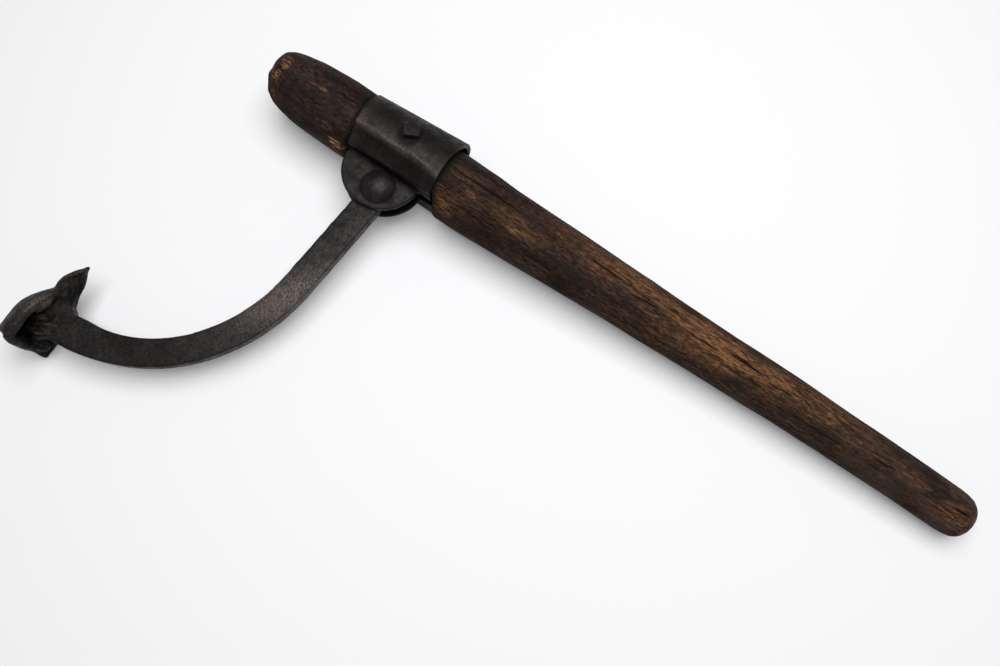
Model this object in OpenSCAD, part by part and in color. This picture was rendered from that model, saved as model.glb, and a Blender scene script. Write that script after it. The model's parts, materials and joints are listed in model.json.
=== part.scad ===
// Cant hook: a tapered wooden handle, a bent iron collar held by a lag screw,
// and a forged hook that swings on a bolt between the collar's two ears.
// Built straight along X from the nose end, then laid down on the floor.
// All sizes are in millimetres.

/* [Handle] */
// length from the nose end to the butt end
handle_l = 752; // [600:1:1400]
// radius just in front of the collar, the thickest place
nose_r = 33.4; // [28:0.1:40]
// length of the rounded nose
nose_l = 100; // [60:1:104]
// radius of the small worn flat on the nose end
nose_flat_r = 8; // [4:0.5:14]
// radius just behind the collar
shoulder_r = 33; // [28:0.1:38]
// radius half way down
waist_r = 26.6; // [20:0.1:32]
// radius at three quarters of the length
grip_r = 22.9; // [18:0.1:28]
// radius of the straight part that the hand or a rack clip holds
butt_r = 20.8; // [16:0.1:26]
// length of that straight part
butt_l = 44; // [30:1:80]
// length of the rounding at the butt end
butt_round_l = 24; // [10:1:40]
// radius of the flat on the butt end
butt_flat_r = 9; // [4:0.5:14]

/* [Collar] */
// distance from the nose end to the collar's front edge, on top
collar_x = 108.6; // [90:0.1:150]
// length of the collar along the handle, on top
collar_l = 94; // [60:0.5:140]
// outer radius at the front edge
collar_front_r = 34.5; // [30:0.1:42]
// outer radius at the rear edge, where it flares off the wood
collar_rear_r = 38.9; // [32:0.1:46]
// thickness of the bent plate
collar_t = 4.8; // [3:0.1:7]
// how far the flare leans to the back side
collar_lean = 0.9; // [0:0.1:2]
// skew of the front edge
collar_skew = 6.5; // [0:0.5:10]
// distance from the handle axis to the outside of the flat side wall
wall_y = 26; // [22:0.1:32]
// distance from the nose end to the middle of the ears
ear_x = 150; // [120:0.5:190]
// radius of the ears
ear_r = 39.4; // [30:0.1:50]
// thickness of an ear
ear_t = 5; // [3:0.1:8]
// free gap between the ears
ear_gap = 13.4; // [10:0.1:20]
// radius of the fold between wall and ear
fold_r = 1; // [0.5:0.1:1.5]
// rounding on the rim of an ear
ear_edge = 1.2; // [0.2:0.1:2]

/* [Collar screw] */
// across the flats of the square head
screw_head_w = 14.3; // [10:0.1:20]
// height of the head
screw_head_h = 4.8; // [3:0.1:10]
// radius of the screw's shank
screw_r = 4.7; // [3:0.1:6]
// length of the shank under the head
screw_l = 45; // [20:1:60]
// distance from the nose end to the screw
screw_x = 159; // [120:0.1:190]
// tilt of the screw to the back side
screw_tilt = 15.5; // [0:0.5:30]
// how far the head is turned about the screw
screw_turn = 29; // [0:1:90]

/* [Hook] */
// distance from the nose end to the pivot
pivot_x = 156.5; // [120:0.5:190]
// distance from the handle axis to the pivot
pivot_y = 43; // [38:0.1:50]
// width of the bar
bar_w = 26.2; // [20:0.1:34]
// thickness of the bar
bar_t = 12.7; // [9:0.1:16]
// how far each edge of the bar flares out toward the head
bar_flare = 2; // [0:0.1:6]
// radius of the eye around the bolt
eye_r = 15; // [12:0.1:20]
// radial play of the bolt in the eye
eye_play = 0.08; // [0.02:0.01:0.5]
// angle at which the bar leaves the pivot
bar_a = 4; // [0:0.5:20]
// length of the straight part
bar_l = 116.5; // [60:1:200]
// radius of the first bend
bend1_r = 170; // [100:1:300]
// angle of the first bend
bend1_a = 33.5; // [10:0.5:60]
// radius of the second bend
bend2_r = 146; // [80:1:300]
// angle of the second bend
bend2_a = 44.5; // [10:0.5:70]
// straight end that runs into the head
toe_l = 57; // [30:1:80]

/* [Hook head] */
// how far the point lies beyond the end of the second bend, along the handle
tip_out = 35.1; // [20:0.1:60]
// how far the point rises from the end of the second bend toward the handle
tip_rise = 53.5; // [30:0.1:80]
// lean of the head
head_lean = 1.9; // [-10:0.1:10]
// radius of the blunted point
point_r = 1.2; // [0.5:0.1:4]
// length of the sharp point at the end of the spike
point_l = 11.5; // [6:0.5:18]
// radius of the spike where the sharp point starts
point_base_r = 6; // [4:0.1:9]
// lean of the sharp point toward the bar
point_lean = 10; // [0:0.5:20]
// length of the spike
spike_l = 29; // [15:0.5:50]
// radius of the spike where the scoop starts
spike_r = 12.2; // [8:0.1:24]
// how far the spike stands back from the head's middle line
spike_back = 3.6; // [0:0.5:6]
// distance from the point to the scoop's widest place
bell_l = 64; // [40:0.5:100]
// radius at the widest place
bell_r = 30; // [18:0.1:40]
// whole length of the head
head_l = 95; // [70:0.5:140]
// rounding of the heel
heel_r = 9; // [3:0.5:14]
// thickness of the scoop's wall
scoop_t = 8.5; // [4:0.1:14]
// how far the lips stand in front of the head's middle line
lip = -1; // [-6:0.5:8]
// turn of the mouth about the head's middle line, the near lip stands further back
lip_turn = 9; // [-20:0.5:20]
// distance from the point to the slanted heel, on the head's middle line
heel_l = 89; // [60:0.5:130]
// slant of the heel, the near lobe is the shorter one
heel_slant = 7; // [0:0.5:15]
// thickness of the web between the spike and the bar
web_t = 12; // [5:0.5:12.5]
// radius in the corner between the spike and the bar
throat_r = 6; // [2:0.5:14]
// how far the web's inner edge starts behind the point
web_back = 3.6; // [0:0.1:6]
// tilt of the web's inner edge
throat_a = 22.2; // [10:0.1:40]

/* [Pivot bolt] */
// radius of the bolt
bolt_r = 7.9; // [5:0.1:10]
// radius of the domed head
bolt_head_r = 15.9; // [12:0.1:22]
// height of the domed head
bolt_head_h = 8.4; // [5:0.1:14]
// length under the head
bolt_l = 44.4; // [38:0.1:60]
// outer radius of the washer
washer_r = 15.8; // [12:0.1:18]
// thickness of the washer
washer_t = 3; // [1.5:0.1:5]
// across the flats of the square nut
nut_w = 23.8; // [18:0.1:30]
// height of the nut
nut_h = 13; // [8:0.1:18]

/* [Hidden] */
$fn = 48;
eps = 0.02;       // seat gap between pieces that touch
cut = 0.5;        // how far a cutter passes the face it cuts
seat_play = 0.7;  // gap between the wood and the inside of the collar
reach = 60;       // half size of the cutting blocks
iron = [0.26, 0.25, 0.26];
wood = [0.36, 0.24, 0.17];

// handle stations behind the collar
collar_end = collar_x + collar_l;
butt_x = handle_l - butt_round_l - butt_l;
waist_x = collar_end + (butt_x - collar_end) * 0.42;
grip_x = collar_end + (butt_x - collar_end) * 0.76;

// heights and radii of the collar
ear_in = ear_gap / 2;
ear_out = ear_in + ear_t;
collar_slope = (collar_rear_r - collar_front_r) / collar_l;
inner_wall_y = wall_y - collar_t;
screw_at = screw_x - collar_x;
// the head rests on the collar at its rear corner, where the cone is thicker
screw_seat = collar_front_r + collar_slope * (screw_at + screw_head_w / sqrt(2));
rear_shift = sin(collar_lean) * collar_l;

// bar middle line: heading a is measured from -Y toward -X
function along(a) = [-sin(a), -cos(a)];
function inward(a) = [-cos(a), sin(a)];
pivot = [pivot_x, -pivot_y];
bar_end = pivot + bar_l * along(bar_a);
bend1_c = bar_end + bend1_r * inward(bar_a);
a1 = bar_a + bend1_a;
bend1_end = bend1_c - bend1_r * inward(a1);
bend2_c = bend1_end + bend2_r * inward(a1);
a2 = a1 + bend2_a;
bend2_end = bend2_c - bend2_r * inward(a2);
point_x = bend2_end[0] - tip_out;
point_y = bend2_end[1] + tip_rise;

// laying the tool down: the collar's rear edge, the butt and the lower lip
// of the scoop rest on the floor
rest_x = handle_l - butt_round_l;
pitch = atan((collar_rear_r - butt_r) / (rest_x - collar_end));
lift = collar_end * sin(pitch) + cos(pitch) * collar_rear_r;
rest_y = -point_y + (bell_l + heel_l) / 2;
roll0 = asin((lift - bell_r) / rest_y);
roll = asin((lift / cos(pitch) - bell_r * cos(roll0)) / rest_y);
head_back = bell_r * cos(heel_slant) - tan(head_lean) * bell_l;
mid_x = (handle_l + point_x - head_back) / 2;
mid_y = (collar_rear_r + rear_shift + point_y - heel_l - bell_r * tan(heel_slant)) / 2;

// one long edge of the bar, side 1 toward the log and -1 away from it
bend_n = 12;
function bar_side(side) = concat(
    [pivot + side * bar_w / 2 * inward(bar_a)],
    [for (i = [0 : bend_n]) let (a = bar_a + bend1_a * i / bend_n)
        bend1_c - (bend1_r - side * bar_w / 2) * inward(a)],
    [for (i = [1 : bend_n])
        let (a = a1 + bend2_a * i / bend_n, w = bar_w / 2 + bar_flare * pow(i / bend_n, 4))
        bend2_c - (bend2_r - side * w) * inward(a)],
    [bend2_end + toe_l * along(a2) + side * (bar_w / 2 + bar_flare) * inward(a2)]);

// corner between the spike and the bar's inner edge
edge_y = bend2_end[1] + (bar_w / 2 + bar_flare) * inward(a2)[1];
point_in = [point_x - web_back, point_y];
web_top = point_y - web_t;
web_top_x = point_in[0] + web_t * tan(throat_a);
web_x = point_in[0] + (point_y - edge_y) * tan(throat_a);
throat_cy = edge_y + throat_r;
throat_cx = point_in[0] + (point_y - throat_cy) * tan(throat_a) + throat_r / cos(throat_a);

// smooth rounding from a flat of radius f to radius r over length l
function round_end(u, f, r) = f + (r - f) * pow(1 - pow(1 - u, 2.6), 0.5);
nose_n = 9;
nose_points = [for (i = [0 : nose_n]) let (u = pow(i / nose_n, 1.8))
    [round_end(u, nose_flat_r, nose_r), u * nose_l]];
butt_n = 6;
butt_points = [for (i = [butt_n : -1 : 0]) let (u = pow(i / butt_n, 1.6))
    [round_end(u, butt_flat_r, butt_r), handle_l - u * butt_round_l]];

// outside of the scoop from the spike to the heel, as radius against length
bell_n = 6;
function bell(u) = spike_r + (bell_r - spike_r) * sin(90 * u);
function bell_at(i, from) = from + (bell_l - from) * i / bell_n;
bell_points = [for (i = [0 : bell_n]) [bell(i / bell_n), bell_at(i, spike_l)]];
heel_n = 4;
heel_points = [for (i = [0 : heel_n]) let (q = 90 * i / heel_n)
    [bell_r - heel_r + heel_r * cos(q), head_l - heel_r + heel_r * sin(q)]];
head_points = concat([[0, spike_l - spike_r / 2]], bell_points, heel_points, [[0, head_l]]);
// inside of the scoop
hollow_l = spike_l + scoop_t;
hollow_end = head_l - scoop_t;
hollow_r = bell_r - scoop_t;
hollow_points = concat([[0, hollow_l]],
    [for (i = [1 : bell_n]) [bell(i / bell_n) - scoop_t, bell_at(i, hollow_l)]],
    [[hollow_r, hollow_end - heel_r / 2], [hollow_r - heel_r / 2, hollow_end], [0, hollow_end]]);

// puts the straight tool down on the floor, middle of its box on the origin
module lay_down() {
    translate([-mid_x, -mid_y, lift]) rotate([roll, pitch, 0]) children();
}

// turns a shape built up along Z so that it runs along X
module along_x() { rotate([0, 90, 0]) children(); }

// slanted front face of the collar: keeps what lies behind it
module front_cutter(gap) {
    translate([collar_x - gap, 0, 0]) rotate([0, 0, collar_skew])
        translate([-reach, -1.5 * reach, -reach]) cube([reach, 3 * reach, 2 * reach]);
}

// everything on the ears' side of a plane parallel to the handle
module side_cutter(y) {
    translate([collar_x - reach, -y - reach, -reach]) cube([collar_l + 2 * reach, reach, 2 * reach]);
}

// tilted true cone that follows the collar, from before its front to its rear
module collar_cone(inset, over) {
    ahead = 12;
    translate([collar_x, 0, 0]) rotate([0, 0, collar_lean]) translate([-ahead, 0, 0]) along_x()
        cylinder(r1 = collar_front_r - collar_slope * ahead - inset,
                 r2 = collar_rear_r + collar_slope * over - inset,
                 h = collar_l + ahead + over);
}

// turned blank, seat for the collar, flat beside the hook and screw hole
module handle() {
    seat_x = collar_x - 2 * nose_r * tan(collar_skew);
    color(wood) lay_down() difference() {
        along_x() rotate_extrude()
            polygon(concat([[0, 0]], nose_points,
                [[nose_r, collar_x - 2], [shoulder_r, collar_end], [waist_r, waist_x],
                 [grip_r, grip_x], [butt_r, butt_x]],
                butt_points, [[0, handle_l]]));
        // seat: a ring is taken off from the slanted shoulder backwards
        difference() {
            translate([seat_x, 0, 0]) along_x() cylinder(r = nose_r + 5, h = collar_end - seat_x);
            translate([seat_x - cut, 0, 0]) along_x()
                cylinder(r1 = collar_front_r - collar_t - seat_play, r2 = shoulder_r - seat_play,
                         h = collar_end - seat_x + 2 * cut);
            front_cutter(seat_play);
        }
        // flat on the hook's side
        difference() {
            side_cutter(inner_wall_y - eps);
            front_cutter(seat_play);
            translate([collar_end + 5, -1.5 * reach, -1.5 * reach]) cube(3 * reach);
        }
        screw_line() translate([0, 0, -screw_l - cut]) cylinder(r = screw_r + eps, h = screw_l + 4 * screw_r);
    }
}

// puts a shape at the screw, Z up along the screw, origin under its head
module screw_line() {
    translate([screw_x, 0, 0]) rotate([0, 0, collar_lean]) translate([0, sin(collar_lean) * screw_at, 0])
        rotate([-screw_tilt, 0, 0]) translate([0, 0, screw_seat + eps]) children();
}

// one ear: a half disc with a softened rim, lying on its lower face
module ear() {
    difference() {
        translate([ear_x, -wall_y, 0]) {
            cylinder(r = ear_r, h = ear_t - ear_edge);
            translate([0, 0, ear_t - ear_edge])
                cylinder(r1 = ear_r, r2 = ear_r - ear_edge, h = ear_edge);
        }
        translate([ear_x - ear_r - cut, -wall_y + collar_t / 2, -cut])
            cube([2 * (ear_r + cut), ear_r + cut, ear_t + 2 * cut]);
    }
}

// rounded inside corner where an ear leaves the wall
module fold() {
    difference() {
        translate([ear_x - ear_r + 1, -wall_y - fold_r, ear_out - 1])
            cube([2 * ear_r - 2, fold_r + 1, fold_r + 1]);
        translate([ear_x - ear_r, -wall_y - fold_r, ear_out + fold_r]) along_x()
            cylinder(r = fold_r, h = 2 * ear_r);
    }
}

// plate bent round the handle, its two ends bolted beside the hook
module collar() {
    color(iron) lay_down() difference() {
        union() {
            difference() {
                collar_cone(0, 0);
                side_cutter(wall_y);
            }
            translate([0, 0, ear_in]) ear();
            mirror([0, 0, 1]) translate([0, 0, ear_in]) ear();
            fold();
            mirror([0, 0, 1]) fold();
        }
        // the hollow for the wood, flat on the hook's side
        difference() {
            collar_cone(collar_t, cut);
            side_cutter(inner_wall_y);
        }
        front_cutter(0);
        // the slot that the hook swings in
        translate([ear_x - ear_r - cut, -wall_y - ear_r - cut, -ear_in])
            cube([collar_l + 2 * ear_r, ear_r + collar_t + 2 * cut, ear_gap]);
        // square hole for the bolt's neck above, round hole below
        translate([pivot_x, -pivot_y, 0]) {
            translate([-bolt_r - eps, -bolt_r - eps, 0])
                cube([2 * (bolt_r + eps), 2 * (bolt_r + eps), ear_out + fold_r + cut]);
            translate([0, 0, -ear_out - cut]) cylinder(r = bolt_r + 0.3, h = ear_out);
        }
        screw_line() translate([0, 0, -3 * collar_t]) cylinder(r = screw_r + 0.4, h = 5 * collar_t);
    }
}

// square head lag screw, its thread left plain
module collar_screw() {
    crown = 1.6;
    tip = 7;
    color(iron) lay_down() screw_line() rotate([0, 0, screw_turn]) {
        // the head is a square block inside a cone that softens its crown
        intersection() {
            translate([-screw_head_w / 2, -screw_head_w / 2, 0])
                cube([screw_head_w, screw_head_w, screw_head_h]);
            rotate_extrude() polygon([[0, -cut], [screw_head_w, -cut],
                [screw_head_w * 0.72, screw_head_h - crown], [screw_head_w * 0.56, screw_head_h + cut / 4],
                [0, screw_head_h + cut / 4]]);
        }
        translate([0, 0, -screw_l + tip]) cylinder(r = screw_r, h = screw_l - tip + cut);
        translate([0, 0, -screw_l]) cylinder(r1 = 0.8, r2 = screw_r, h = tip);
    }
}

// eye-to-head bar as one outline: out along one edge, back along the other
module bar() {
    back = bar_side(-1);
    linear_extrude(height = bar_t, center = true)
        polygon(concat(bar_side(1), [for (i = [len(back) - 1 : -1 : 0]) back[i]]));
}

// puts a shape at the head's point, Z running toward the heel
module head_line() {
    translate([point_x, point_y, 0]) rotate([0, 0, head_lean]) rotate([90, 0, 0]) children();
}

// six-sided spike: a short sharp point that leans a little, on a slimmer taper
module spike() {
    root = spike_l + spike_r / 2;
    shoulder = point_l - 1;
    taper = (spike_r - point_base_r) / (root - shoulder);
    translate([0, 0, point_l]) rotate([0, -point_lean, 0]) rotate([0, 0, 30]) translate([0, 0, -point_l - 1])
        cylinder(r1 = point_r, r2 = point_base_r + taper, h = point_l + 1, $fn = 6);
    translate([0, 0, shoulder]) rotate([0, 0, 30])
        cylinder(r1 = point_base_r, r2 = spike_r, h = root - shoulder, $fn = 6);
}

// sharp spike with half of a turned horn below it, hollowed like a duck's bill
module scoop() {
    head_line() {
        translate([-spike_back, 0, 0]) spike();
        difference() {
            rotate_extrude() polygon(head_points);
            rotate_extrude() polygon(hollow_points);
            rotate([0, 0, lip_turn]) translate([lip, -reach, 0]) cube([reach, 2 * reach, 2 * reach]);
            // slanted heel
            translate([-reach, 0, heel_l]) rotate([-heel_slant, 0, 0]) translate([0, -reach, 0])
                cube([2 * reach, 2 * reach, reach]);
        }
    }
}

// web that joins the spike to the bar's inner edge, with a rounded throat
module throat() {
    linear_extrude(height = web_t, center = true) {
        polygon([[web_top_x, web_top], [web_x, edge_y], [throat_cx, edge_y],
                 [throat_cx, edge_y - bar_w / 2], [point_x - spike_back, edge_y - bar_w / 2],
                 [point_x - spike_back, web_top]]);
        difference() {
            polygon([[throat_cx - throat_r * cos(throat_a), throat_cy - throat_r * sin(throat_a)],
                     [web_x - 1, edge_y - 1], [throat_cx, edge_y - 1], [throat_cx, edge_y]]);
            translate([throat_cx, throat_cy]) circle(r = throat_r);
        }
    }
}

// eye, bar, throat and head, forged in one piece
module hook() {
    eye_t = bar_t + 0.2;
    color(iron) lay_down() difference() {
        union() {
            translate([pivot_x, -pivot_y, -eye_t / 2]) cylinder(r = eye_r, h = eye_t);
            bar();
            throat();
            scoop();
        }
        translate([pivot_x, -pivot_y, -eye_t]) cylinder(r = bolt_r + eye_play, h = 2 * eye_t);
    }
}

// domed carriage bolt with a square neck in the upper ear
module pivot_bolt() {
    dome_r = (bolt_head_r * bolt_head_r + bolt_head_h * bolt_head_h) / (2 * bolt_head_h);
    neck = ear_t - 0.3;
    color(iron) lay_down() translate([pivot_x, -pivot_y, ear_out + eps]) {
        intersection() {
            translate([0, 0, bolt_head_h - dome_r]) sphere(r = dome_r);
            cylinder(r = bolt_head_r + cut, h = bolt_head_h + cut);
        }
        translate([-bolt_r, -bolt_r, -neck]) cube([2 * bolt_r, 2 * bolt_r, neck + cut]);
        translate([0, 0, -bolt_l]) cylinder(r = bolt_r, h = bolt_l);
    }
}

// plain washer under the lower ear
module pivot_washer() {
    color(iron) lay_down() translate([pivot_x, -pivot_y, -ear_out - eps - washer_t]) difference() {
        cylinder(r = washer_r, h = washer_t);
        translate([0, 0, -cut]) cylinder(r = bolt_r + 0.5, h = washer_t + 2 * cut);
    }
}

// square nut, its thread left plain
module pivot_nut() {
    color(iron) lay_down() translate([pivot_x, -pivot_y, -ear_out - 2 * eps - washer_t - nut_h])
        difference() {
            translate([-nut_w / 2, -nut_w / 2, 0]) cube([nut_w, nut_w, nut_h]);
            translate([0, 0, -cut]) cylinder(r = bolt_r + eps, h = nut_h + 2 * cut);
        }
}

handle();
collar();
collar_screw();
hook();
pivot_bolt();
pivot_washer();
pivot_nut();
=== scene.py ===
# %% [markdown]
# A cant hook turns logs: a wooden pole is the lever, an iron collar near its nose carries a
# curved hook, and the hook swings on one bolt. The measured model comes in first as a fixed
# frame. It could be dressed by eye, but reading its places from the frame keeps every new
# piece exactly where the real one is.
# %% Load the measured frame
import json
import math
import bmesh
import bpy
import numpy as np
from mathutils import Matrix, Vector, noise


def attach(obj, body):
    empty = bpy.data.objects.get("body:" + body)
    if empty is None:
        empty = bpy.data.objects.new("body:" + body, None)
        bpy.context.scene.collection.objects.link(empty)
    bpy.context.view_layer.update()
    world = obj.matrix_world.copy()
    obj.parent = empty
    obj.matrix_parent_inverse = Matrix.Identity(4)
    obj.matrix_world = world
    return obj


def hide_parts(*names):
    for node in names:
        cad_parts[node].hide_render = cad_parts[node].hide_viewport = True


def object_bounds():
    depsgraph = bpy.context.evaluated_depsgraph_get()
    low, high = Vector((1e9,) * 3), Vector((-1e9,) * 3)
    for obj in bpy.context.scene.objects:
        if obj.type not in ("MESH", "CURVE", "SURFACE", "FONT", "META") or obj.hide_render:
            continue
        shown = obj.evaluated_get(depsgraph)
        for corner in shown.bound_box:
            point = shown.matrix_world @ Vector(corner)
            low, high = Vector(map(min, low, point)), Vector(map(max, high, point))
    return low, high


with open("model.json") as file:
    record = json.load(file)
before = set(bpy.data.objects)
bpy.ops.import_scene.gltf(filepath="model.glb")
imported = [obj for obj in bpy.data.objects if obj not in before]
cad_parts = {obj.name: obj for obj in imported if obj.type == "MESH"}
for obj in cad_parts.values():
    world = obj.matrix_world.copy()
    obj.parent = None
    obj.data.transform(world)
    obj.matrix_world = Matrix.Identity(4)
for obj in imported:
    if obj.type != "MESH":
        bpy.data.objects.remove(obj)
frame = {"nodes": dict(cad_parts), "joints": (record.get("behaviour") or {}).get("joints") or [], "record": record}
cad_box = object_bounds()
MM = 0.001
print("nodes:", sorted(frame["nodes"]))

# %% [markdown]
# The tool was built straight, with its handle along X, and then laid down on three points. It is
# easier to think along the handle than in the tilted frame. The joint's axis and the grip's axis
# are two of the straight frame's axes, so both frames can be tied together from the record.
# %% The straight frame along the handle
swing = frame["joints"][0]
grip = [m for m in frame["record"]["mounts"] if m["name"] == "grip"][0]
along, up = Vector(grip["axis"]), Vector(swing["axis"])
side = up.cross(along)
LAY = Matrix((along, side, up)).transposed().to_4x4()
PIVOT = Vector((156.5, -43, 0)) * MM
LAY.translation = Vector(swing["pos_m"]) - LAY.to_3x3() @ PIVOT
print("nose end of the handle at", [round(c, 4) for c in LAY.translation])


def laid(x, y, z):
    """A point given in millimetres along, across and above the handle, where the tool lies."""
    return LAY @ (Vector((x, y, z)) * MM)


# %% [markdown]
# The photograph looks down from about 0.7 m and a little from the hook's side. Such a near
# camera widens what is close to it, so the view can't be copied with a long lens from further
# away. The camera is therefore placed by its real position and its right and up directions.
# %% Camera
bpy.context.scene.view_settings.view_transform = "Standard"
cam_data = bpy.data.cameras.new("photo_camera")
cam_data.lens, cam_data.sensor_width, cam_data.sensor_fit = 28.8, 36, "HORIZONTAL"
cam_data.clip_start, cam_data.clip_end = 0.01, 50
camera = bpy.data.objects.new("photo_camera", cam_data)
bpy.context.scene.collection.objects.link(camera)
bpy.context.scene.camera = camera
turn = LAY.to_3x3()
cam_right = (turn @ Vector((0.82423, 0.56623, 0.00513))).normalized()
cam_back = (turn @ Vector((0.10916, -0.16778, 0.97976))).normalized()
cam_up = cam_back.cross(cam_right)
pose = Matrix((cam_right, cam_up, cam_back)).transposed().to_4x4()
pose.translation = laid(404.0, -211.5, 706.0)
camera.matrix_world = pose
print("camera at", [round(c, 3) for c in pose.translation])

# %% [markdown]
# Several pieces need the same small tools: one that turns a bmesh into an object, one that stores a number for each
# vertex, and an even step from 0 to 1. Stored numbers can paint a chip or a crack exactly where it is, which a pattern
# in space can't.
# %% Small helpers


def keep_piece(mesh_or_bm, name, body, nodes=()):
    """Makes the finished piece, rides it on its body and hides the CAD nodes it stands for."""
    mesh = mesh_or_bm
    if isinstance(mesh, bmesh.types.BMesh):
        mesh = bpy.data.meshes.new(name)
        mesh_or_bm.to_mesh(mesh)
        mesh_or_bm.free()
    mesh.name = name
    for face in mesh.polygons:
        face.use_smooth = True
    piece = bpy.data.objects.new(name, mesh)
    bpy.context.scene.collection.objects.link(piece)
    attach(piece, body)
    if nodes:
        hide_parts(*nodes)
    print(name, len(mesh.vertices), "vertices,", len(mesh.polygons), "faces")
    return piece


def store(mesh, name, values):
    """One number for each vertex, for a material to read."""
    mesh.attributes.new(name, "FLOAT", "POINT").data.foreach_set("value", np.array(values, np.float32))


def smooth_step(a, b, x):
    """0 before a, 1 after b, and an even curve between."""
    t = min(1.0, max(0.0, (x - a) / (b - a)))
    return t * t * (3 - 2 * t)


# %% [markdown]
# The handle is a pole shaved to a taper by hand: thick at the collar, thin at the butt, with a
# slight bow. A lathe would make it too even. Here a flat sheet of squares is rolled into a tube,
# so that each square keeps its place along the pole and around it, and the surface can then be
# worn, cracked and chipped by number.
# %% The handle's shape along its length
RADII = [(2, 0.5), (2.3, 9), (3.6, 14.5), (6, 19.5), (9, 23.2), (14, 25.9), (19, 27.6), (29, 29.9), (39.5, 31.6),
         (49.6, 32.5), (59.6, 33.0), (79.5, 33.6), (95, 33.7), (107, 33.4), (203, 32.9), (244.5, 32.1), (263, 31.1),
         (291, 30.4), (319, 29.4), (347, 28.4), (375, 27.5), (402, 26.6), (429, 26.0), (456, 24.9), (509, 23.7),
         (561, 22.9), (612, 22.1), (662, 21.3), (720, 20.8), (730, 20.7), (738, 20.1), (744, 18.7), (748.5, 15.9),
         (751.2, 12), (752.3, 7), (752.6, 0.5)]
BOW = [(0, -0.6), (245, -1.5), (263, -1.7), (291, -1.1), (319, -0.6), (361, 0), (429, 0.85), (509, 1.8),
       (561, 2.4), (612, 2.3), (662, 1.8), (720, 0.6), (745, 0), (752, 0)]
COLLAR_X, COLLAR_END = 108.6, 202.6
SEAT_R0, SEAT_R1, FLAT_Y = 29.0, 32.3, -21.1


def read(table, x):
    return float(np.interp(x, [p[0] for p in table], [p[1] for p in table]))


def station_list():
    """Places along the handle: close together at the round ends, 2.9 mm apart between them."""
    out = [2 + 10 * (i / 16) ** 1.7 for i in range(16)]
    while out[-1] < 726:
        out.append(out[-1] + 2.9)
    end = out[-1]
    return out + [end + (752.6 - end) * (1 - (1 - i / 18) ** 1.8) for i in range(1, 19)]


STATIONS = station_list()
AROUND = 340
print(len(STATIONS), "rings of", AROUND, "squares")

# %% [markdown]
# Old wood splits along its grain as it dries. Each split is a narrow groove that runs for some
# centimetres and pinches out at both ends. The longest ones are placed where they are on the real
# pole, and the sides that the photograph doesn't show get others of the same kind.
# %% Cracks, chips and worn places
# each crack: start and end along the handle, angle around it at both, depth
CRACKS = [(72, 106, 80, 78, 1.5), (204, 276, 78.5, 77, 2.0), (353, 392, 77.5, 80.7, 1.5), (400, 433, 94.4, 87.9, 1.6),
          (437, 448, 78, 70, 1.2), (457, 497, 95, 96, 1.4), (499, 536, 82, 87, 1.9), (541, 570, 95, 90, 1.2),
          (725, 744, 96, 91, 1.9), (651, 673, 105, 100, 1.2), (226, 278, 123.5, 133, 1.1), (299, 343, 136, 137, 1.0),
          (388, 439, 155, 148, 1.0), (564, 634, 124.4, 123, 1.0), (56, 104, 60, 57, 1.0)]
# each chip: place along the handle, angle, half length, half width in mm, depth, how fresh it is
CHIPS = [(19, 80, 7.5, 9, 1.6, 0.8), (17, 113, 6, 8, 1.7, 0.75), (17, 150, 5, 6, 1.3, 0.6), (67, 88.4, 5, 2.2, 0.8, 0.5),
         (57, 90, 4, 1.6, 0.6, 0.4), (7, 104, 6, 6.5, 1.1, 0.5), (84, 135, 11, 5, 0.5, 0.3), (100, 159, 12, 8.5, 1.5, 0.95), (207, 118, 8, 7, 0.7, 0.45),
         (216, 140, 12, 12, 0.7, 0.5), (222, 150, 8, 7, 0.8, 0.6), (286, 112, 9, 3.5, 0.5, 0.6), (236, 100, 7, 3, 0.4, 0.5),
         (748, 80, 3, 7, 0.7, 0.75), (747, 150, 3, 5, 0.6, 0.6), (24, 220, 7, 9, 1.2, 0.7), (20, 290, 6, 10, 1.4, 0.7),
         (30, 350, 8, 6, 0.9, 0.6), (556, 80, 10, 3, 0.4, 0.5)]


def hidden_cracks(count=26):
    """More cracks of the same kind on the sides that the photograph doesn't show."""
    dice = np.random.default_rng(11)
    out = []
    for _ in range(count):
        x, turn_at = dice.uniform(25, 660), dice.uniform(185, 405) % 360
        out.append((x, x + dice.uniform(25, 80), turn_at, turn_at + dice.uniform(-4, 4), dice.uniform(0.7, 1.7)))
    return [c for c in out if not (c[1] > COLLAR_X - 4 and c[0] < COLLAR_END + 4)]


def angle_gap(a, b):
    return abs((a - b + 180) % 360 - 180)


def crack_depth(x, turn_at, radius, cracks):
    """Depth of the groove here, in millimetres, and how much painted shade darkens it."""
    depth = dark = 0.0
    for x0, x1, a0, a1, deep in cracks:
        if not x0 < x < x1:
            continue
        t = (x - x0) / (x1 - x0)
        wander = 1.6 * noise.noise(Vector((x * 0.09, a0, 0)))
        off = math.radians(angle_gap(turn_at, a0 + (a1 - a0) * t + wander)) * radius
        taper = min(1.0, 4 * min(t, 1 - t)) ** 0.6
        wide = (0.25 + 0.3 * deep) * taper + 0.25
        if off < wide:
            depth = max(depth, deep * taper * (1 - off / wide))
            dark = max(dark, taper * (1 - (off / wide) ** 2))
    return depth, dark


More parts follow.
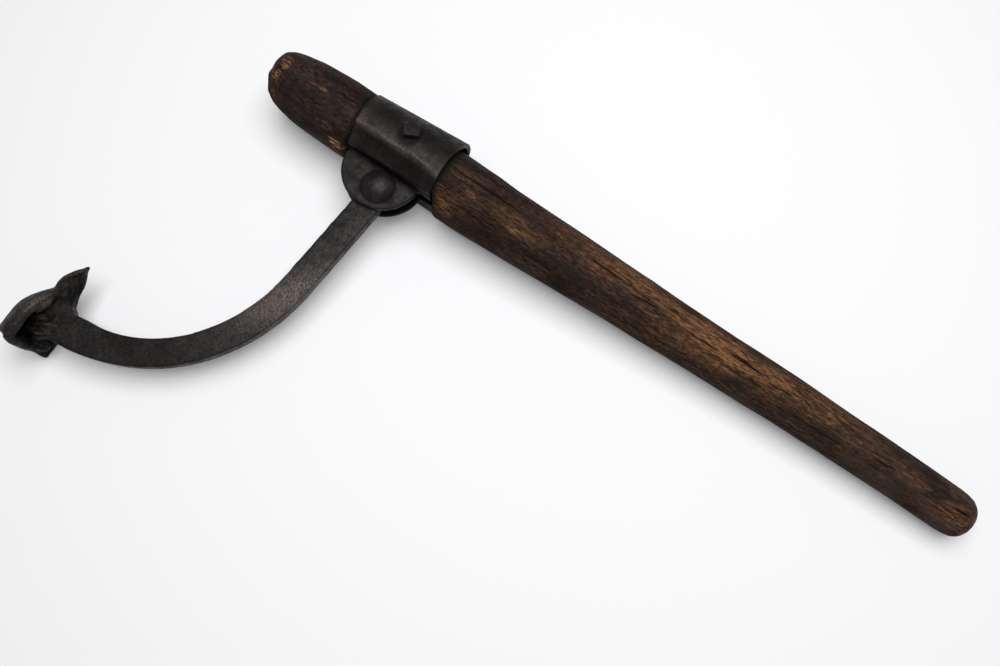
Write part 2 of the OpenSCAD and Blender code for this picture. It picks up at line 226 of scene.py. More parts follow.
def chip_depth(x, turn_at, radius):
    """Depth and freshness of the chips here. Their floors are torn along the grain."""
    depth = fresh = 0.0
    for cx, ca, half_l, half_w, deep, light in CHIPS:
        u = (x - cx) / half_l
        v = math.radians(angle_gap(turn_at, ca)) * radius / half_w
        if abs(u) < 1.6 and v < 1.6:
            ragged = 0.45 * noise.noise(Vector((x * 0.16, turn_at * 0.22, ca)))
            inside = 1 - smooth_step(0.55, 1.05, math.hypot(u, v) + ragged)
            torn = 0.75 + 0.5 * noise.noise(Vector((x * 0.05, turn_at * 0.9, ca)))
            depth = max(depth, deep * inside * torn)
            fresh = max(fresh, light * inside)
    return depth, fresh


# %% [markdown]
# Each corner of the rolled sheet is now put in its place: first the plain taper and the bow, then
# the seat that is cut for the collar, then wear. Wear is a sum of slow waves, which are the
# shaved flats, and quick ones stretched along the grain, which are the raised growth rings.
# %% Roll, wear and crack the handle


def from_front(x, y):
    """Distance behind the collar's slanted front edge, negative in front of it."""
    return x + math.tan(math.radians(6.5)) * y - COLLAR_X


def seat(x, y, z):
    """Thinner under the collar, flat on the hook's side, and beaten hollow where the bar can hit."""
    under = smooth_step(-3.2, 1.2, from_front(x, y))
    under *= 1 - smooth_step(COLLAR_END - 2, COLLAR_END + 1.5, x)
    r = math.hypot(y, z)
    if under > 0 and r > 1:
        limit = SEAT_R0 + (SEAT_R1 - SEAT_R0) * (x - COLLAR_X) / (COLLAR_END - COLLAR_X)
        r2 = r + (min(r, limit) - r) * under
        y, z = y * r2 / r, z * r2 / r
    flat = smooth_step(COLLAR_X + 0.4, COLLAR_X + 2, x) * (1 - smooth_step(COLLAR_END, COLLAR_END + 7, x))
    if y < FLAT_Y:
        y += (FLAT_Y - y) * flat
        y += 1.3 * math.exp(-((x - 215) / 8) ** 2 - (z / 9) ** 2)
    return y, z


def handle_mesh():
    bm = bmesh.new()
    marks = [bm.verts.layers.float.new(n) for n in ("dark", "fresh", "place", "turn")]
    rows = len(STATIONS)
    bmesh.ops.create_grid(bm, x_segments=rows - 1, y_segments=AROUND, size=1)
    cracks = CRACKS + hidden_cracks()
    for v in bm.verts:
        row = round((v.co.x + 1) / 2 * (rows - 1))
        x, turn_at = STATIONS[row], (v.co.y + 1) * 180
        a = math.radians(turn_at)
        radius = read(RADII, x)
        inner = smooth_step(0, 22, radius)
        c, s = math.cos(a), math.sin(a)
        p = Vector((x, radius * c, radius * s))
        waves = 0.55 * noise.noise(Vector((x * 0.008, c * 1.3, s * 1.3 + 4)))
        waves += 0.35 * noise.noise(Vector((x * 0.03, c * 2.6, s * 2.6 + 9)))
        waves += 0.22 * noise.noise(Vector((x * 0.045, c * 14, s * 14)))
        waves += 0.10 * noise.noise(Vector((x * 0.12, c * 38, s * 38)))
        dent = 0.0
        if x < 60:
            rough = noise.noise(Vector((x * 0.07, c * 2.2, s * 2.2 + 2)))
            dent = 1.5 * (1 - smooth_step(6, 60, x)) * max(0.0, rough)
        crack, dark = crack_depth(x, turn_at, max(radius, 5), cracks)
        chip, fresh = chip_depth(x, turn_at, max(radius, 12))
        r = max(0.2, radius + inner * (waves - dent - crack - chip))
        y, z = seat(x, r * c, r * s)
        lean = 1 - smooth_step(0, 45, x)
        x_at = x + lean * (0.10 * -y + 1.2 * noise.noise(Vector((y * 0.08, z * 0.08, 3))))
        x_at += 1.1 * chip * (1 - smooth_step(9, 26, x))
        for layer, value in zip(marks, (dark, fresh, x, turn_at)):
            v[layer] = value
        v.co = laid(x_at, y + read(BOW, x), z)
    bmesh.ops.remove_doubles(bm, verts=bm.verts, dist=2e-6)
    holes = [e for e in bm.edges if e.is_boundary]
    bmesh.ops.holes_fill(bm, edges=holes, sides=0)
    bmesh.ops.recalc_face_normals(bm, faces=bm.faces)
    return bm


bm = handle_mesh()
print("handle: open edges", sum(e.is_boundary for e in bm.edges))
handle = keep_piece(bm, "wood_handle", "shaft", ["handle"])

# %% [markdown]
# The ironwork was forged by hand, so it has no sharp machine edge: corners are rounded by the
# hammer and by wear. A bevel on every edge would look the same all over. Instead each solid is
# copied, rebuilt in small even squares and smoothed a little, which rounds a thin rim more than a
# thick one, as wear does. Then slow waves stand for the hammer marks.
# %% Forge a piece from its solid


def even_squares(mesh, size):
    """The same shape in small even squares."""
    temp = bpy.data.objects.new("temp", mesh)
    bpy.context.scene.collection.objects.link(temp)
    remesh = temp.modifiers.new("Even", "REMESH")
    remesh.mode, remesh.voxel_size = "VOXEL", size
    deps = bpy.context.evaluated_depsgraph_get()
    out = bpy.data.meshes.new_from_object(temp.evaluated_get(deps))
    bpy.data.objects.remove(temp)
    return out


def convexity(bm):
    """How far each vertex stands out from its neighbours: high on worn edges, low in corners."""
    out = []
    for v in bm.verts:
        around = [e.other_vert(v).co for e in v.link_edges]
        middle = sum(around, Vector()) / len(around)
        size = max(1e-9, sum((c - v.co).length for c in around) / len(around))
        out.append((v.co - middle).dot(v.normal) / size)
    return np.array(out)


def spread(bm, values, times):
    """Averages a value with its neighbours a few times."""
    links = [[e.other_vert(v).index for e in v.link_edges] for v in bm.verts]
    for _ in range(times):
        values = np.array([0.4 * values[i] + 0.6 * np.mean(values[l]) for i, l in enumerate(links)])
    return values


def forge(node, name, size, rounds, hammer, scale, body="shaft", lumps=(), rough=None, crisp=None, bend=None):
    """The finished piece from its solid. Lumps are merged in, rough adds height in some places."""
    bm = bmesh.new()
    bm.from_mesh(frame["nodes"][node].data)
    bmesh.ops.remove_doubles(bm, verts=bm.verts, dist=1e-6)
    for at, sizes, lean in lumps:
        form = LAY @ Matrix.Translation(Vector(at) * MM) @ Matrix.Rotation(math.radians(lean), 4, "Z")
        form @= Matrix.Diagonal((*(c * MM for c in sizes), 1))
        bmesh.ops.create_icosphere(bm, subdivisions=3, radius=1, matrix=form)
    solid = bpy.data.meshes.new("solid")
    bm.to_mesh(solid)
    bm.free()
    bm = bmesh.new()
    bm.from_mesh(even_squares(solid, size * MM))
    back = LAY.inverted()
    places = [(back @ v.co) / MM for v in bm.verts]
    soft = [v for v, p in zip(bm.verts, places) if not (crisp and crisp(p))]
    for i in range(rounds):
        some = bm.verts if i == 0 else soft
        bmesh.ops.smooth_vert(bm, verts=some, factor=0.5, use_axis_x=True, use_axis_y=True, use_axis_z=True)
    bm.normal_update()
    bm.verts.index_update()
    for v, p in zip(bm.verts, places):
        if bend:
            v.co = LAY @ (bend(p) * MM)
        height = hammer * (noise.noise(p / scale) + 0.4 * noise.noise(p * 3.1 / scale))
        v.co += v.normal * MM * (height + (rough(p) if rough else 0))
    bm.normal_update()
    edge = spread(bm, convexity(bm), 2)
    mesh = bpy.data.meshes.new(name)
    bm.to_mesh(mesh)
    bm.free()
    store(mesh, "edge", edge)
    print(node, "edge values from", round(float(edge.min()), 3), "to", round(float(edge.max()), 3))
    return keep_piece(mesh, name, body, [node])


# rough masses in the head: place, half sizes and turn
LUMPS = [((-22.5, -293, 11.5), (4.5, 7, 6), -20), ((-15, -287, 1.5), (8, 12, 6.5), 8),
         ((-21, -302.5, 13), (3.6, 9.5, 4.4), -18), ((-22, -340, -1), (8.5, 5.8, 29), 0), ((-17, -334.5, -13), (11, 6.5, 9), 0),
         ((-21.5, -279, 2), (9, 10, 8), 0), ((-22.7, -268.4, 4), (4.1, 15, 5), -27),
         ((-15.2, -268.2, -2), (3.0, 12.5, 4.2), 22),
         ((-13, -304, 3.0), (9, 8, 4.6), 30), ((-19, -313, 1.5), (7, 9, 5.5), -15), ((-10, -318, 2), (9, 7, 4.8), 10),
         ((-24, -322, 0), (6, 8, 6), 0), ((-16, -327, -2), (8, 5, 6), 20)]


def near_point(p):
    return p.x < 0 and p.y > -272


def torn_streaks(p):
    """Long narrow waves that run from the heel to the root of the bar, and where they are strong."""
    flow = Vector(((0.82 * p.x + 0.57 * p.y) * 0.10, (0.82 * p.y - 0.57 * p.x) * 0.42, p.z * 0.42))
    near = 1 - smooth_step(9, 23, math.hypot(p.x + 17, p.y + 321))
    return noise.noise(flow), near * (1 - smooth_step(8, 13, p.z)) * smooth_step(-9, -4, p.z)


def head_rough(p):
    """Torn and lumpy where the bar was closed into the scoop, a little rough on all of the head."""
    if p.x > 20 or p.y > -255:
        return 0
    streak, much = torn_streaks(p)
    lumps = 0.6 * noise.noise(p * 0.16) + 1.2 * streak * much + 0.6 * noise.noise(p * 0.42)
    return (0.3 + 0.7 * much) * lumps * (1 - smooth_step(-275, -255, p.y))

def crease(p):
    """The plate leaves the round in a soft ridge and runs flatter from there to its corner."""
    turned = math.degrees(math.atan2(p.z, p.y))
    r = math.hypot(p.y, p.z)
    start = 103 + 5 * smooth_step(185, 204, p.x) + 1.5 * noise.noise(Vector((p.x * 0.05, 2, 7)))
    if r < 20 or not start - 9 < turned < 136:
        return p
    middle, half = (start + 136) / 2, (136 - start) / 2
    if turned > start:
        flat = math.cos(math.radians(half)) / math.cos(math.radians(turned - middle))
        r *= 1 - 1.5 * (1 - flat)
    r += 0.7 * math.exp(-((turned - start) / 3.5) ** 2)
    return Vector((p.x, r * math.cos(math.radians(turned)), r * math.sin(math.radians(turned))))


collar = forge("collar", "iron_collar", 1.0, 3, 0.13, 20, bend=crease)
hook = forge("hook", "forged_hook", 1.15, 4, 0.13, 24, "swing_hook", LUMPS, head_rough, near_point)
bolt = forge("pivot_bolt", "domed_bolt", 0.7, 3, 0.08, 8)
screw = forge("collar_screw", "square_screw", 0.4, 1, 0.05, 6)
washer = forge("pivot_washer", "round_washer", 0.6, 2, 0.05, 8)
nut = forge("pivot_nut", "square_nut", 0.8, 3, 0.08, 8)

# %% [markdown]
# Both the wood and the iron need patterns that are mixed by strength. A shader node group does
# this once: it gets a place, a size and a contrast, and gives a mask from 0 to 1. Each material
# then uses the mask with its own colours.
# %% Node helpers


def node_group(name, ins, outs):
    """An empty group with named inputs and outputs."""
    group = bpy.data.node_groups.new(name, "ShaderNodeTree")
    for label, kind, value in ins:
        socket = group.interface.new_socket(label, in_out="INPUT", socket_type=kind)
        if value is not None:
            socket.default_value = value
    for label, kind in outs:
        group.interface.new_socket(label, in_out="OUTPUT", socket_type=kind)
    return group, group.nodes.new("NodeGroupInput"), group.nodes.new("NodeGroupOutput")


def add(tree, kind, **values):
    """A node with its settings and input values given by name."""
    node = tree.nodes.new(kind)
    for key, value in values.items():
        if hasattr(node, key):
            setattr(node, key, value)
        else:
            node.inputs[key.replace("_", " ")].default_value = value
    return node


def mask_group():
    """Noise turned into a mask between Low and High; the place it is given sets its stretch, and Frequency its size."""
    group, start, end = node_group(
        "Streak mask",
        [("Vector", "NodeSocketVector", None), ("Frequency", "NodeSocketFloat", 100.0),
         ("Detail", "NodeSocketFloat", 4.0), ("Low", "NodeSocketFloat", 0.4), ("High", "NodeSocketFloat", 0.6)],
        [("Mask", "NodeSocketFloat"), ("Raw", "NodeSocketFloat")])
    link = group.links.new
    cloud = add(group, "ShaderNodeTexNoise", Roughness=0.6)
    link(start.outputs["Vector"], cloud.inputs["Vector"])
    link(start.outputs["Frequency"], cloud.inputs["Scale"])
    link(start.outputs["Detail"], cloud.inputs["Detail"])
    spread_out = add(group, "ShaderNodeMapRange", interpolation_type="SMOOTHSTEP")
    link(cloud.outputs["Fac"], spread_out.inputs["Value"])
    link(start.outputs["Low"], spread_out.inputs["From Min"])
    link(start.outputs["High"], spread_out.inputs["From Max"])
    link(spread_out.outputs["Result"], end.inputs["Mask"])
    link(cloud.outputs["Fac"], end.inputs["Raw"])
    return group


STREAK = mask_group()


def mask(tree, vector, frequency, detail, low, high):
    node = tree.nodes.new("ShaderNodeGroup")
    node.node_tree = STREAK
    tree.links.new(vector, node.inputs["Vector"])
    for label, value in (("Frequency", frequency), ("Detail", detail), ("Low", low), ("High", high)):
        node.inputs[label].default_value = value
    return node.outputs["Mask"]


def times(tree, a, b):
    node = add(tree, "ShaderNodeMath", operation="MULTIPLY", use_clamp=True)
    for socket, value in zip(node.inputs, (a, b)):
        if isinstance(value, (int, float)):
            socket.default_value = value
        else:
            tree.links.new(value, socket)
    return node.outputs[0]


def tint(tree, base, colour, factor, mode="MIX"):
    """Lays a colour over another where the mask is."""
    node = add(tree, "ShaderNodeMix", data_type="RGBA", blend_type=mode)
    for socket, value in ((node.inputs[6], base), (node.inputs[7], colour), (node.inputs[0], factor)):
        if isinstance(value, (tuple, int, float)):
            socket.default_value = (*value, 1) if isinstance(value, tuple) else value
        else:
            tree.links.new(value, socket)
    return node.outputs[2]


def attribute(tree, name):
    return add(tree, "ShaderNodeAttribute", attribute_name=name).outputs["Fac"]


def ramp(tree, value, low, high, to_low=0.0, to_high=1.0):
    node = add(tree, "ShaderNodeMapRange", interpolation_type="SMOOTHSTEP")
    tree.links.new(value, node.inputs["Value"])
    for label, number in (("From Min", low), ("From Max", high), ("To Min", to_low), ("To Max", to_high)):
        node.inputs[label].default_value = number
    return node.outputs["Result"]


def new_material(name, metallic, specular):
    material = bpy.data.materials.new(name)
    material.use_nodes = True
    tree = material.node_tree
    shader = tree.nodes["Principled BSDF"]
    shader.inputs["Metallic"].default_value = metallic
    shader.inputs["Specular IOR Level"].default_value = specular
    return material, tree, shader


def object_place(tree, stretch=(1, 1, 1)):
    """Object coordinates, turned so that X runs along the handle and then stretched."""
    place = tree.nodes.new("ShaderNodeTexCoord")
    turn_node = add(tree, "ShaderNodeMapping", vector_type="TEXTURE")
    turn_node.inputs["Rotation"].default_value = LAY.to_euler()
    tree.links.new(place.outputs["Object"], turn_node.inputs["Vector"])
    squeeze = add(tree, "ShaderNodeMapping", vector_type="POINT")
    squeeze.inputs["Scale"].default_value = stretch
    tree.links.new(turn_node.outputs["Vector"], squeeze.inputs["Vector"])
    return squeeze.outputs["Vector"]


# %% [markdown]
# The wood is nearly black-brown where oil and dirt have soaked in, warmer where hands and logs
# rubbed it clean, and bright orange-brown only where a chip has torn it open. Each of these is a
# colour laid over the last by a mask, with fine streaks along the grain in all of them.
# %% Weathered wood


def wood_material():
    material, tree, shader = new_material("Weathered wood", 0.0, 0.06)
    link = tree.links.new
    grain = object_place(tree, (0.055, 1, 1))
    cloudy = object_place(tree, (0.35, 1, 1))
    fleck = object_place(tree, (0.17, 1, 1))
    colour = tint(tree, (0.0140, 0.0086, 0.0086), (0.031, 0.0180, 0.0150), mask(tree, grain, 210, 5, 0.36, 0.64))
    pole = ramp(tree, attribute(tree, "place"), 110, 200)
    colour = tint(tree, colour, (0.034, 0.0215, 0.0195), times(tree, ramp(tree, pole, 0, 1, 0.7, 0.0), mask(tree, cloudy, 75, 4, 0.36, 0.60)))
    colour = tint(tree, colour, (0.058, 0.030, 0.017), times(tree, mask(tree, cloudy, 38, 5, 0.50, 0.70), ramp(tree, pole, 0, 1, 0.3, 1.0)))
    worn = attribute(tree, "worn")
    streaks = ramp(tree, mask(tree, grain, 300, 5, 0.34, 0.62), 0, 1, 0.35, 1.0)
    colour = tint(tree, colour, (0.175, 0.084, 0.038), times(tree, worn, streaks))
    flecks = times(tree, mask(tree, fleck, 560, 5, 0.56, 0.68), ramp(tree, worn, 0.05, 0.5, 0.12, 1.0))
    colour = tint(tree, colour, (0.26, 0.14, 0.066), times(tree, flecks, 0.6))
    rough_grain = ramp(tree, mask(tree, object_place(tree, (0.22, 1, 1)), 800, 5, 0.32, 0.68), 0, 1, 0.42, 1.55)
    colour = tint(tree, colour, rough_grain, 1.0, "MULTIPLY")
    grey = times(tree, ramp(tree, attribute(tree, "place"), 560, 690, 0, 0.6), mask(tree, cloudy, 95, 4, 0.38, 0.60))
    colour = tint(tree, colour, (0.052, 0.036, 0.028), grey)
    stain = times(tree, attribute(tree, "stain"), mask(tree, cloudy, 130, 4, 0.36, 0.52))
    colour = tint(tree, colour, (0.0125, 0.0125, 0.0105), times(tree, stain, 0.85))
    colour = tint(tree, colour, (0.012, 0.008, 0.007), times(tree, mask(tree, cloudy, 60, 4, 0.56, 0.68), 0.7))
    colour = tint(tree, colour, (0.010, 0.007, 0.006), times(tree, mask(tree, grain, 620, 3, 0.55, 0.66), 0.65))
    torn = mask(tree, object_place(tree, (0.2, 1, 1)), 640, 5, 0.44, 0.58)
    fresh = attribute(tree, "fresh")
    colour = tint(tree, colour, (0.27, 0.140, 0.060), times(tree, fresh, torn))
    colour = tint(tree, colour, (0.50, 0.36, 0.19), times(tree, ramp(tree, fresh, 0.84, 0.97), mask(tree, grain, 420, 3, 0.47, 0.56)))
    # painted shade where the collar meets the wood
    colour = tint(tree, colour, (0.006, 0.005, 0.004), times(tree, attribute(tree, "painted_collar_shade"), 0.9))
    # painted shade: the cracks' floors are painted near black
    colour = tint(tree, colour, (0.005, 0.0035, 0.003), ramp(tree, attribute(tree, "dark"), 0.15, 0.7, 0.0, 0.9))
    link(colour, shader.inputs["Base Color"])
    link(ramp(tree, mask(tree, cloudy, 60, 3, 0.3, 0.7), 0, 1, 0.6, 0.85), shader.inputs["Roughness"])
    bump = add(tree, "ShaderNodeBump", Strength=0.5, Distance=0.0005)
    link(mask(tree, grain, 520, 6, 0.3, 0.7), bump.inputs["Height"])
    link(bump.outputs["Normal"], shader.inputs["Normal"])
    return material


WORN = [(490, 84, 72, 44, 1.1), (400, 66, 58, 34, 0.75), (545, 74, 42, 34, 0.85), (345, 60, 40, 30, 0.5),
        (300, 95, 40, 30, 0.25), (232, 130, 26, 40, 0.2), (213, 140, 12, 22, 0.4), (224, 80, 20, 12, 0.35), (608, 72, 54, 44, 0.68),
        (690, 94, 42, 20, 0.6), (730, 98, 28, 64, 0.65), (540, 118, 210, 60, 0.24), (430, 140, 110, 36, 0.3),
        (450, 262, 170, 40, 0.7), (260, 300, 60, 40, 0.4)]
STAINS = [(299, 75, 20, 10, 0.5), (260, 137, 13, 5, 0.6), (286, 136, 11, 5, 0.7), (342, 72, 16, 7, 0.7),
          (324, 122, 18, 8, 0.8), (354, 125, 26, 10, 0.8), (391, 109, 26, 10, 0.8), (380, 138, 13, 6, 0.7),
          (450, 102, 16, 7, 0.8), (524, 131, 16, 7, 1.0), (523, 49, 10, 6, 0.7), (582, 133, 24, 8, 0.7),
          (604, 131, 22, 9, 0.7), (660, 57, 24, 8, 0.8), (679, 120, 22, 8, 0.7), (712, 83, 26, 6, 0.8),
          (52, 105, 19, 8, 1.0), (41, 112, 15, 10, 1.0), (38, 124, 12, 8, 1.0), (91, 103, 9, 7, 0.9),
          (78, 90, 17, 6, 0.5), (82, 138, 24, 14, 0.5), (470, 250, 60, 14, 0.7),
          (330, 290, 40, 12, 0.8), (610, 280, 50, 12, 0.7), (160, 40, 60, 40, 0.6)]


def patches(table, place, turned, radius):
    """Soft spots from a table of place, angle, half length, half width and strength."""
    out = np.zeros(len(place))
    for cx, ca, half_l, half_w, much in table:
        off = np.abs((turned - ca + 180) % 360 - 180) * (math.radians(radius) if radius else 1)
        out = np.maximum(out, much * np.exp(-((place - cx) / half_l) ** 2 - (off / half_w) ** 2))
    return out


def paint_handle(mesh):
    """Worn places, stains and the painted shade next to the collar, as numbers along and around the handle."""
    place = np.array([d.value for d in mesh.attributes["place"].data])
    turned = np.array([d.value for d in mesh.attributes["turn"].data])
    worn = patches(WORN, place, turned, 0)
    store(mesh, "worn", worn)
    store(mesh, "stain", patches(STAINS, place, turned, 28))
    # painted shade: darker just in front of the collar's edge and in a band behind its rear end, where the collar
    # shades the wood
    y = 33 * np.cos(np.radians(turned))
    front = place + math.tan(math.radians(6.5)) * y - COLLAR_X
    rear = 3.2 + 7.0 * np.exp(-((turned - 155) / 34) ** 2)
    painted_collar_shade = np.maximum(np.exp(-(np.minimum(front + 1, 0) / 2.6) ** 2) * (front < 60),
                       np.exp(-(np.maximum(place - COLLAR_END - 1, 0) / rear) ** 2) * (front > 60))
    store(mesh, "painted_collar_shade", painted_collar_shade)
    print("worn share", round(float((worn > 0.4).mean()), 3))


paint_handle(handle.data)
handle.data.materials.append(wood_material())

# %% [markdown]
# Old forged iron is covered by a thin brown-black skin. It shines softly on flats that rub on
# something, and is dull and rough in corners. One recipe serves all the ironwork: the skin's two
# tones, a lighter tone on edges, and roughness that follows both.
# Edges and worn places are partly painted highlight, and shade is painted where a piece marks it.
# %% Old iron


def iron_material(name, dark, mid, bright, wear_and_highlight_strength=0.0, rough=(0.42, 0.68), grain=(0.82, 1.22)):
    material, tree, shader = new_material(name, 0.3, 0.25)
    link = tree.links.new
    place = object_place(tree)
    colour = tint(tree, dark, mid, mask(tree, place, 55, 6, 0.38, 0.62))
    colour = tint(tree, colour, tuple(c * 0.45 for c in dark), times(tree, mask(tree, place, 240, 5, 0.52, 0.66), 0.6))
    colour = tint(tree, colour, ramp(tree, mask(tree, place, 400, 4, 0.34, 0.66), 0, 1, *grain), 1.0, "MULTIPLY")
    # edges are lighter: partly wear, partly a painted highlight where the edges catch the light
    edges = ramp(tree, attribute(tree, "edge"), 0.06, 0.30)
    speckle = mask(tree, place, 560, 7, 0.33, 0.68)
    colour = tint(tree, colour, bright, times(tree, times(tree, edges, speckle), 0.75))
    if wear_and_highlight_strength:
        # this attribute mixes real wear with painted highlights
        worn = times(tree, attribute(tree, "wear_and_painted_highlight"), wear_and_highlight_strength)
        colour = tint(tree, colour, bright, times(tree, worn, ramp(tree, speckle, 0, 1, 0.25, 1.0)))
        rust = times(tree, mask(tree, place, 190, 5, 0.50, 0.62), worn)
        colour = tint(tree, colour, (0.075, 0.036, 0.026), times(tree, rust, 0.4))
        # painted shade, with a plainly darker tone in a few places; it also lowers the sheen there
        painted_shade_and_darkening = attribute(tree, "painted_shade_and_darkening")
        colour = tint(tree, colour, (0.0060, 0.0048, 0.0044), times(tree, painted_shade_and_darkening, 0.9))
        link(ramp(tree, painted_shade_and_darkening, 0, 0.8, 0.25, 0.06), shader.inputs["Specular IOR Level"])
    link(colour, shader.inputs["Base Color"])
    link(ramp(tree, mask(tree, place, 130, 5, 0.3, 0.7), 0, 1, rough[0], rough[1]), shader.inputs["Roughness"])
    bump = add(tree, "ShaderNodeBump", Strength=0.35, Distance=0.0004)
    link(mask(tree, place, 380, 6, 0.3, 0.7), bump.inputs["Height"])
    link(bump.outputs["Normal"], shader.inputs["Normal"])
    return material


def places_of(mesh):
    back = LAY.inverted()
    return np.array([back @ v.co for v in mesh.vertices]) / MM


def spot(p, at, sizes, lean=0.0):
    """A soft round or long spot on the piece, seen from above."""
    c, s = math.cos(math.radians(lean)), math.sin(math.radians(lean))
    dx, dy = p[:, 0] - at[0], p[:, 1] - at[1]
    return np.exp(-((c * dx + s * dy) / sizes[0]) ** 2 - ((c * dy - s * dx) / sizes[1]) ** 2)


FAR_BAR = ((70, -278), (62, 40), 15)


def paint_hook(mesh):
    """The bar is worn lighter where its bend starts. On the head, highlights are painted on the lip, the spike's edge
    and a facet of the web, and shade is painted in the hollow, the creases, the lower lobe and flanks turned from the
    light; the far part of the bar is darker.
    """
    p = places_of(mesh)
    wear_and_painted_highlight = 1.1 * spot(p, (150, -172), (17, 46), -28) + 0.12 * spot(p, (95, -262), (40, 60), -50)
    wear_and_painted_highlight += 0.2 * spot(p, (176, -100), (20, 34))
    high = np.clip((p[:, 2] - 4) / 14, 0, 1)
    # painted highlight on the lip of the head, where it faces the light
    wear_and_painted_highlight += 1.0 * spot(p, (-21, -302), (6, 12), -8) * high + 0.1 * spot(p, (-33, -320), (12, 20)) * high
    # painted highlight on the lip and along the spike's edge
    wear_and_painted_highlight += 0.9 * spot(p, (-18, -302), (4.5, 8)) * (p[:, 2] > 9) + 0.55 * spot(p, (-23.5, -269), (3.5, 13), -27)
    # painted highlight on a facet of the web
    wear_and_painted_highlight += 0.3 * spot(p, (-8, -294), (4, 6), 30) * (p[:, 2] > 0)
    # painted shade in the hollow and on the lower lobe
    painted_shade_and_darkening = 0.6 * spot(p, (-23, -318), (12, 15)) * (p[:, 2] < 14) + 0.9 * (1 - high) * spot(p, (-18, -339), (18, 9))
    # painted shade on the low parts of the head
    painted_shade_and_darkening += 0.3 * spot(p, (-9, -299), (14, 16)) * (1 - high)
    # painted shadow lines in two creases of the head
    painted_shade_and_darkening += 0.5 * spot(p, (-12, -286.4), (9, 2.0), 42) + 0.6 * spot(p, (-23, -273), (13, 2), 60)
    # the far part of the bar is darker, and painted shade lies on a flank turned away from the light
    painted_shade_and_darkening += 0.45 * spot(p, *FAR_BAR) + 0.7 * spot(p, (-11.5, -276), (7, 14), 22)
    # painted shade that dims a lump where the lamp would shine on it
    painted_shade_and_darkening += 0.4 * spot(p, (-18, -278), (4.5, 5.5))
    # painted shade on the lip's outer rim, which slopes away from the light
    painted_shade_and_darkening += 0.8 * spot(p, (-39, -313), (8, 24)) * high
    # the torn streaks get a painted highlight with wear on their highs, and painted shade in their lows
    for i in np.nonzero((p[:, 0] < 20) & (p[:, 1] < -270))[0]:
        streak, much = torn_streaks(Vector(p[i]))
        wear_and_painted_highlight[i] += 1.2 * much * max(0.0, streak - 0.05)
        painted_shade_and_darkening[i] += 1.0 * much * max(0.0, -streak)
    store(mesh, "wear_and_painted_highlight", np.clip(wear_and_painted_highlight, 0, 1))
    store(mesh, "painted_shade_and_darkening", np.clip(painted_shade_and_darkening, 0, 1))


def paint_collar(mesh):
    """The ridge is worn bright and carries a painted highlight, light is painted above it and on the front edge, shade
    is painted below the ridge, on the top, under the collar and in the fold, shadows are painted around the screw and
    the bolt, and the ears are darker.
    """
    p = places_of(mesh)
    turned = np.degrees(np.arctan2(p[:, 2], p[:, 1]))
    wave = np.array([noise.noise(Vector((x * 0.06, 0, 5))) for x in p[:, 0]])
    start = 103 + 5 * np.clip((p[:, 0] - 185) / 19, 0, 1)
    # the ridge is worn bright and carries a painted highlight
    ridge = np.exp(-((turned - start - 1.5 * wave) / 4.0) ** 2) * (0.8 + 0.6 * wave)
    # painted light on the band above the ridge
    above = 0.12 * np.exp(-((turned - start + 12) / 14) ** 2)
    # painted highlight along the collar's front edge
    front = 0.35 * np.exp(-((p[:, 0] - 113) / 5) ** 2) * (p[:, 2] > 12) * (turned < 150)
    store(mesh, "wear_and_painted_highlight", np.clip(ridge + above + front, 0, 1))
    # painted shade below the ridge, where the plate turns away from the light
    below = 0.55 * np.clip((turned - start - 3) / 5, 0, 1) * (turned < 168) * (p[:, 1] > -29)
    round_bolt = np.hypot(p[:, 0] - 156.5, p[:, 1] + 43)
    # painted shadow ring around the bolt's head
    ring = 0.9 * np.exp(-((round_bolt - 16.2) / 1.3) ** 2) * (p[:, 2] > 9)
    # painted shadow around the screw's head
    around_screw = 0.9 * np.exp(-(np.hypot(p[:, 0] - 158.9, p[:, 1] - 8.6) / 12.8) ** 8) * (p[:, 2] > 12)
    # painted shade under the collar
    under = 1.0 * (p[:, 2] < 6) * np.clip((p[:, 0] - 140) / 30, 0, 1)
    # painted shade in the fold between the wall and the ears
    seam = 0.8 * np.exp(-((p[:, 1] + 26) / 1.6) ** 2) * (np.abs(p[:, 2] - 12) < 2.5)
    # painted shade on the top, which would otherwise shine under the lamp
    far_side = 0.5 * np.clip((95 - turned) / 20, 0, 1)
    # the ears are made a little darker
    ears = 0.22 * (p[:, 1] < -29)
    store(mesh, "painted_shade_and_darkening", np.clip(np.maximum.reduce([below, ring, around_screw, seam, under, far_side, ears]), 0, 1))


paint_collar(collar.data)
paint_hook(hook.data)
IRON_DARK, IRON_MID, IRON_BRIGHT = (0.0125, 0.0098, 0.0098), (0.025, 0.0202, 0.0200), (0.155, 0.136, 0.120)
collar.data.materials.append(iron_material("Collar iron", IRON_DARK, IRON_MID, IRON_BRIGHT, 0.6))
hook.data.materials.append(iron_material("Hook iron", (0.009, 0.0075, 0.0075), (0.019, 0.016, 0.0157), IRON_BRIGHT, 0.8,
                                         grain=(0.6, 1.6)))
fastener = iron_material("Fastener iron", (0.012, 0.0103, 0.0107), (0.024, 0.021, 0.0215), (0.19, 0.17, 0.155), 0.0, (0.30, 0.5))
for piece in (bolt, screw, washer, nut):
    piece.data.materials.append(fastener)

# %% [markdown]
# A pale floor under soft overhead light keeps the shadow close to the tool. The floor could be lit
# until it is white, but then the dark iron would wash out. Instead the camera sees a little glow
# added to the floor's own colour, and the lamps stay at a plain level.
# %% Floor, world and lamps


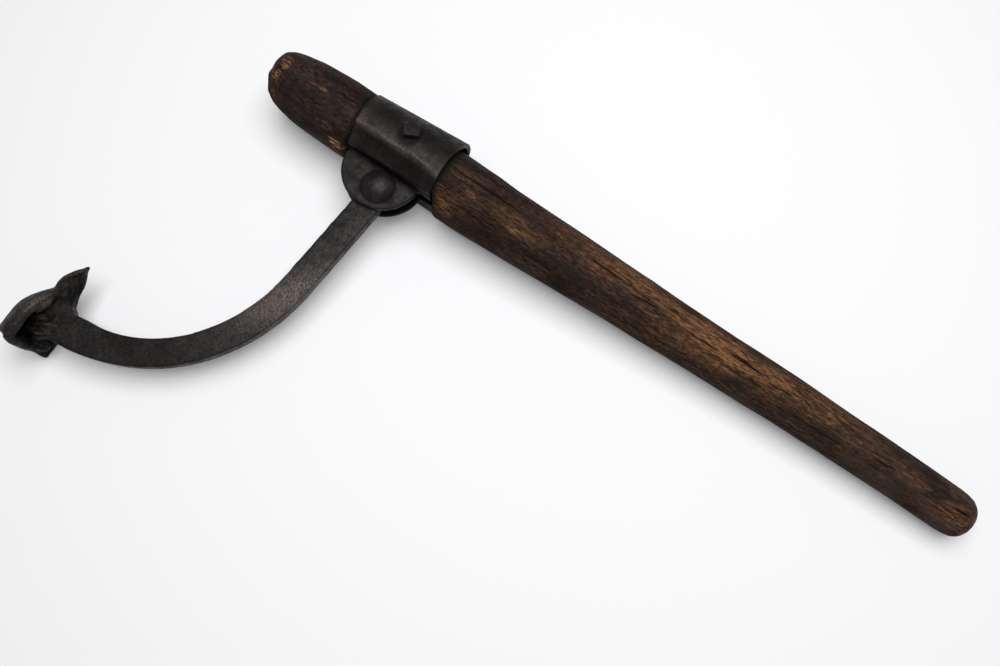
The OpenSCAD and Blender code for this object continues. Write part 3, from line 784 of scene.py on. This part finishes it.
def floor_material():
    material = bpy.data.materials.new("Pale floor")
    material.use_nodes = True
    tree = material.node_tree
    tree.nodes.clear()
    out = tree.nodes.new("ShaderNodeOutputMaterial")
    plain = add(tree, "ShaderNodeBsdfDiffuse", Color=(0.815, 0.825, 0.84, 1))
    glow = add(tree, "ShaderNodeEmission", Color=(1, 1, 1, 1))
    rays = tree.nodes.new("ShaderNodeLightPath")
    seen = add(tree, "ShaderNodeMath", operation="ADD", use_clamp=True)
    tree.links.new(rays.outputs["Is Camera Ray"], seen.inputs[0])
    tree.links.new(rays.outputs["Is Glossy Ray"], seen.inputs[1])
    strength = add(tree, "ShaderNodeMath", operation="MULTIPLY")
    strength.inputs[1].default_value = 0.145
    tree.links.new(seen.outputs[0], strength.inputs[0])
    tree.links.new(strength.outputs[0], glow.inputs["Strength"])
    both = tree.nodes.new("ShaderNodeAddShader")
    tree.links.new(plain.outputs[0], both.inputs[0])
    tree.links.new(glow.outputs[0], both.inputs[1])
    tree.links.new(both.outputs[0], out.inputs["Surface"])
    return material


bm = bmesh.new()
bmesh.ops.create_grid(bm, x_segments=1, y_segments=1, size=6)
bmesh.ops.translate(bm, verts=bm.verts, vec=(0, 0, cad_box[0][2] - 0.0004))
floor_mesh = bpy.data.meshes.new("floor")
bm.to_mesh(floor_mesh)
bm.free()
floor = bpy.data.objects.new("floor", floor_mesh)
bpy.context.scene.collection.objects.link(floor)
floor_mesh.materials.append(floor_material())

world = bpy.data.worlds.new("Studio")
bpy.context.scene.world = world
world.use_nodes = True
world.node_tree.nodes["Background"].inputs["Color"].default_value = (1, 0.94, 0.92, 1)
world.node_tree.nodes["Background"].inputs["Strength"].default_value = 0.16


def soft_lamp(name, at, size, watts):
    """A square soft box that points at the tool."""
    data = bpy.data.lights.new(name, "AREA")
    data.shape, data.size, data.energy = "SQUARE", size, watts
    lamp = bpy.data.objects.new(name, data)
    lamp.location = at
    lamp.rotation_euler = (-Vector(at)).to_track_quat("-Z", "Y").to_euler()
    bpy.context.scene.collection.objects.link(lamp)
    print(name, "at", at)


soft_lamp("overhead", (-0.03, 0.3, 1.7), 1.5, 32)
